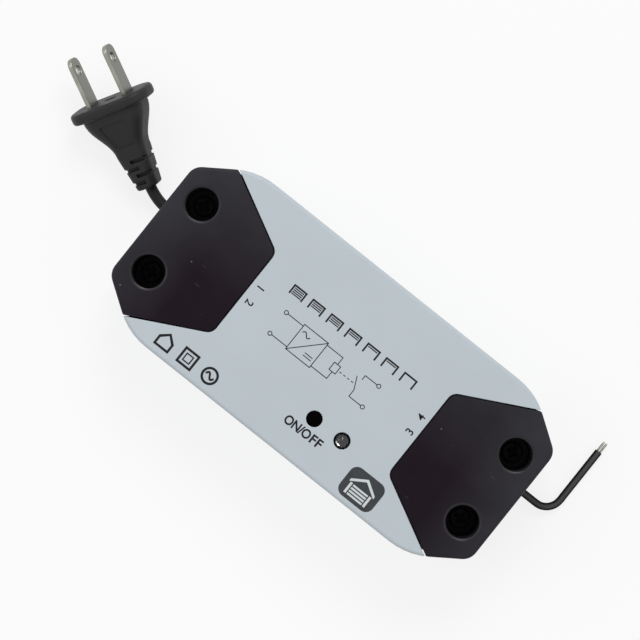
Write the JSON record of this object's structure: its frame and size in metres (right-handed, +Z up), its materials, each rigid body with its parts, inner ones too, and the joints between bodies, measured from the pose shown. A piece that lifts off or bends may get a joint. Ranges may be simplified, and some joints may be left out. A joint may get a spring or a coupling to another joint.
{
  "type": "garage door controller",
  "caption": "Long plastic garage door controller box with slanted corners, screwed end covers, push button, LED, short mains lead with flat-blade plug and thin output lead.",
  "frame": {"origin": "middle of the base's underside", "axes": "+X along the case towards the output end, +Y across the case away from the button, +Z up out of the face"},
  "size_m": [0.2062, 0.0658, 0.0328],
  "materials": {
    "pale_plastic": "fine satin moulding",
    "black_plastic": "satin moulding",
    "black_steel": "black oxide",
    "board": "solder mask",
    "bright_steel": "zinc plated",
    "terminal_green": "moulded",
    "clamp_plastic": "moulded",
    "mains_wire": "insulated core",
    "signal_wire": "insulated core",
    "relay_black": "moulded",
    "relay_blue": "moulded",
    "coil_copper": "enamelled copper",
    "magnet_iron": "plated iron",
    "contact_brass": "spring brass",
    "ferrite": "sintered",
    "tape_yellow": "taped winding",
    "sleeve_blue": "shrink sleeve",
    "sleeve_black": "shrink sleeve",
    "fuse_brown": "moulded",
    "disc_blue": "dipped coating",
    "radio_blue": "solder mask",
    "button_black": "moulded",
    "clear_lens": "clear resin",
    "spacer_white": "nylon",
    "cord_black": "soft jacket",
    "plug_black": "soft moulded plug",
    "nickel": "nickel plated"
  },
  "bodies": {
    "case": {"base_shell": "pale_plastic", "top_shell": "pale_plastic", "input_cover": "black_plastic", "output_cover": "black_plastic", "cover_screws": "black_steel", "pcb": "board", "pcb_screws": "bright_steel", "input_terminal": "terminal_green", "output_terminal": "terminal_green", "terminal_screws": "bright_steel", "input_clamp": "clamp_plastic", "output_clamp": "clamp_plastic", "clamp_screws": "bright_steel", "input_wires": "mains_wire", "output_wires": "signal_wire", "relay_base": "relay_black", "relay_case": "relay_blue", "relay_coil": "coil_copper", "relay_yoke": "magnet_iron", "relay_contacts": "contact_brass", "transformer_core": "ferrite", "transformer_bobbin": "tape_yellow", "bulk_capacitor": "sleeve_blue", "output_capacitor": "sleeve_black", "fuse": "fuse_brown", "varistor": "disc_blue", "bridge_rectifier": "relay_black", "radio_board": "radio_blue", "radio_shield": "bright_steel", "switch_body": "relay_black", "status_led": "clear_lens", "led_spacer": "spacer_white", "led_leads": "bright_steel", "power_tail": "cord_black", "power_cord": "cord_black", "plug_body": "plug_black", "plug_blades": "nickel", "output_tail": "cord_black", "output_lead": "cord_black", "lead_tips": "nickel"},
    "button": {"button_cap": "button_black", "switch_plunger": "button_black"},
    "armature": {"relay_armature": "magnet_iron"}
  },
  "joints": [
    {"name": "button_press", "type": "slide", "parent": "case", "child": "button", "axis": [0, 0, -1], "range_m": [0, 0.0004], "stiffness_N_per_m": 2000},
    {"name": "armature_rock", "type": "hinge", "parent": "case", "child": "armature", "pos_m": [0.01365, 0.01, 0.0185], "axis": [0, 1, 0], "range_deg": [0, 3.4], "stiffness_Nm_per_rad": 0.004, "springref_deg": -5.73}
  ]
}
